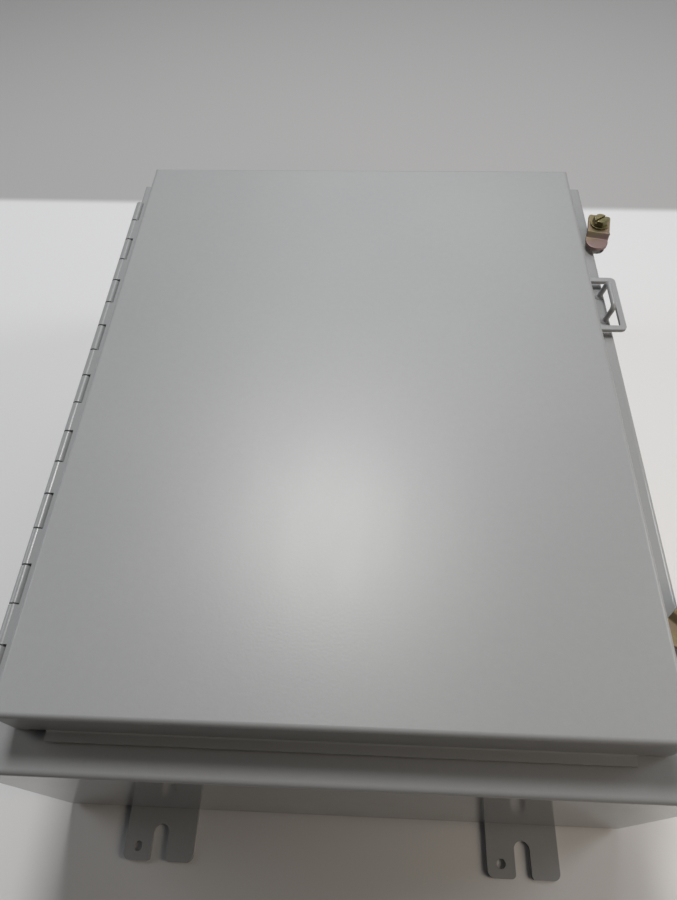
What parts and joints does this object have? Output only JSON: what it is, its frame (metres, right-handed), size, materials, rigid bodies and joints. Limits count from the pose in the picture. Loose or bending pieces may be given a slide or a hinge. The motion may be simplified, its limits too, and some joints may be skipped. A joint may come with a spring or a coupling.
{
  "type": "hinged lid enclosure",
  "caption": "Wall-mount electrical enclosure of folded steel sheet: a box with a flange and wall feet, and a lid on a continuous hinge, with screw clamps and a padlock hasp.",
  "frame": {"origin": "middle of the four wall slots, on the wall plane under the feet", "axes": "+X towards the clamps, +Y towards the top of the enclosure on a wall, +Z out of the lid"},
  "size_m": [0.4248, 0.576, 0.205],
  "materials": {
    "painted_grey": "semi-gloss grey paint",
    "yellow_zinc": "yellow-passivated zinc",
    "gasket_rubber": "matt foam rubber",
    "plain_steel": "bare zinc-plated steel"
  },
  "bodies": {
    "body": {"box_body": "painted_grey", "foot_bottom_left": "painted_grey", "foot_bottom_right": "painted_grey", "foot_top_left": "painted_grey", "foot_top_right": "painted_grey", "hinge_body_leaf": "painted_grey", "hinge_pin": "plain_steel", "hasp_staple": "painted_grey", "upper_clamp_bracket": "painted_grey", "lower_clamp_bracket": "painted_grey", "panel_studs": "plain_steel", "body_earth_stud": "plain_steel", "body_earth_nut": "plain_steel"},
    "lid": {"lid": "painted_grey", "lid_gasket": "gasket_rubber", "lid_hasp": "painted_grey", "hinge_lid_leaf": "painted_grey", "lid_earth_stud": "plain_steel", "lid_earth_nut": "plain_steel"},
    "upper_clamp": {"upper_clamp": "yellow_zinc"},
    "upper_washer": {"upper_clamp_washer": "yellow_zinc"},
    "upper_screw": {"upper_clamp_screw": "yellow_zinc"},
    "lower_clamp": {"lower_clamp": "yellow_zinc"},
    "lower_washer": {"lower_clamp_washer": "yellow_zinc"},
    "lower_screw": {"lower_clamp_screw": "yellow_zinc"}
  },
  "joints": [
    {"name": "lid_hinge", "type": "hinge", "parent": "body", "child": "lid", "pos_m": [-0.1996, 0, 0.175], "axis": [0, -1, 0], "range_deg": [0, 175]},
    {"name": "upper_clamp_swing", "type": "hinge", "parent": "body", "child": "upper_clamp", "pos_m": [0.2076, 0.189, 0.18], "axis": [0, 0, 1], "range_deg": [-78, 12]},
    {"name": "upper_screw_rise", "type": "slide", "parent": "body", "child": "upper_washer", "axis": [0, 0, 1], "range_m": [0, 0.0051]},
    {"name": "upper_screw_turn", "type": "hinge", "parent": "upper_washer", "child": "upper_screw", "pos_m": [0.2076, 0.189, 0.18], "axis": [0, 0, 1], "range_deg": [0, 1440]},
    {"name": "lower_clamp_swing", "type": "hinge", "parent": "body", "child": "lower_clamp", "pos_m": [0.2076, -0.153, 0.18], "axis": [0, 0, 1], "range_deg": [-46, 44]},
    {"name": "lower_screw_rise", "type": "slide", "parent": "body", "child": "lower_washer", "axis": [0, 0, 1], "range_m": [0, 0.0051]},
    {"name": "lower_screw_turn", "type": "hinge", "parent": "lower_washer", "child": "lower_screw", "pos_m": [0.2076, -0.153, 0.18], "axis": [0, 0, 1], "range_deg": [0, 1440]}
  ],
  "couplings": [
    {"joint": "upper_screw_rise", "follows": "upper_screw_turn", "m_per_rad": 0.00020213},
    {"joint": "lower_screw_rise", "follows": "lower_screw_turn", "m_per_rad": 0.00020213}
  ]
}
